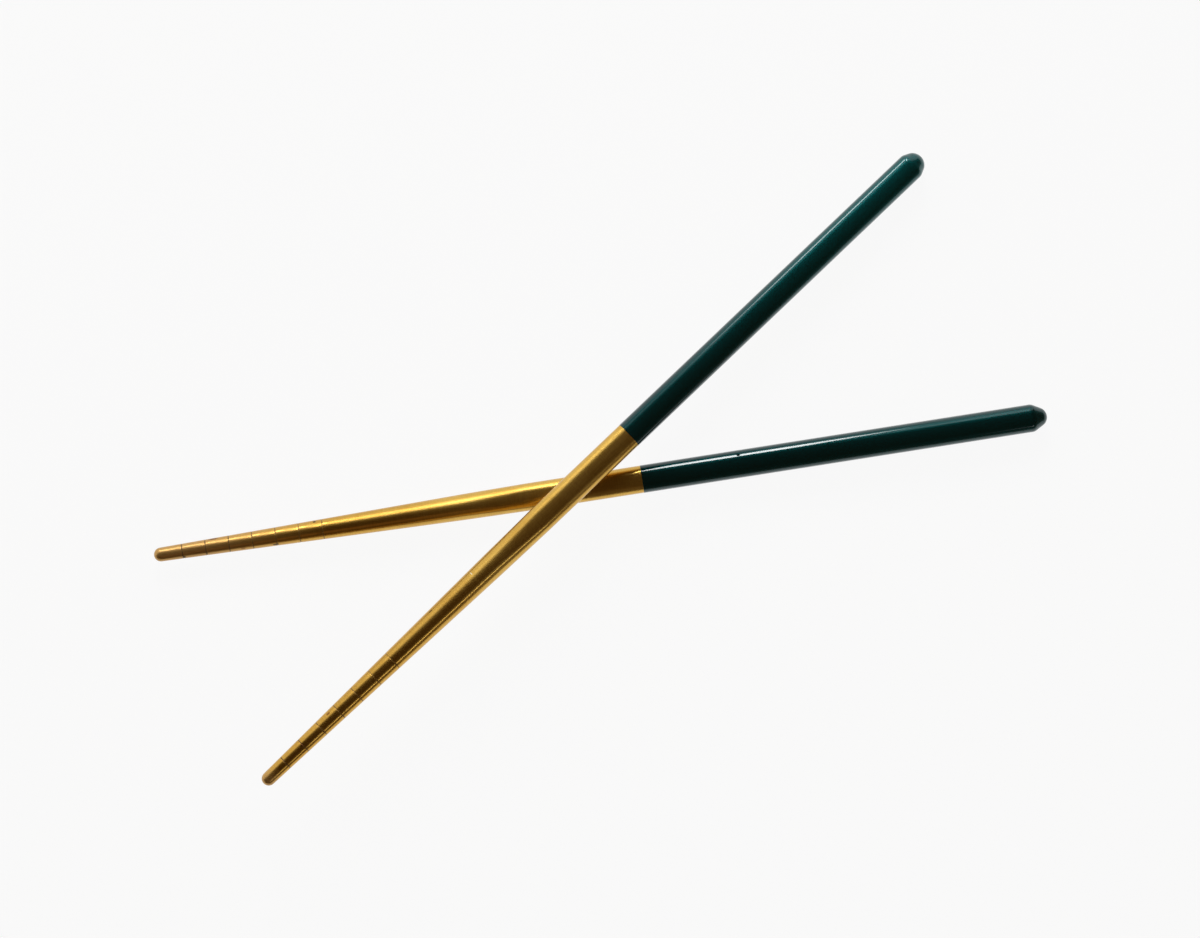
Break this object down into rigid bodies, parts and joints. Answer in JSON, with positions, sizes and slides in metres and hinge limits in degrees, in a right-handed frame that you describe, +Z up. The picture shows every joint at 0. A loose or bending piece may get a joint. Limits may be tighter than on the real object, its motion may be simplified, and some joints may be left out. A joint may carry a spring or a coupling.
{
  "type": "pair of metal chopsticks",
  "caption": "Crossed metal chopsticks with round ringed tips and soft-square lacquered handles, for picking up food.",
  "frame": {"origin": "on the table, under the middle of the crossed pair's box", "axes": "+Z up from the table, +X along the pair's longest extent from the tips towards the handles, +Y across it on the table"},
  "size_m": [0.2274, 0.16, 0.0187],
  "materials": {
    "gold_coated_steel": "gold-coloured coating, finely polished across the stick",
    "green_lacquer": "glossy sprayed lacquer, very dark green"
  },
  "bodies": {
    "root": {"lower_stick": "gold_coated_steel", "lower_handle_lacquer": "green_lacquer", "upper_stick": "gold_coated_steel", "upper_handle_lacquer": "green_lacquer"}
  },
  "joints": []
}
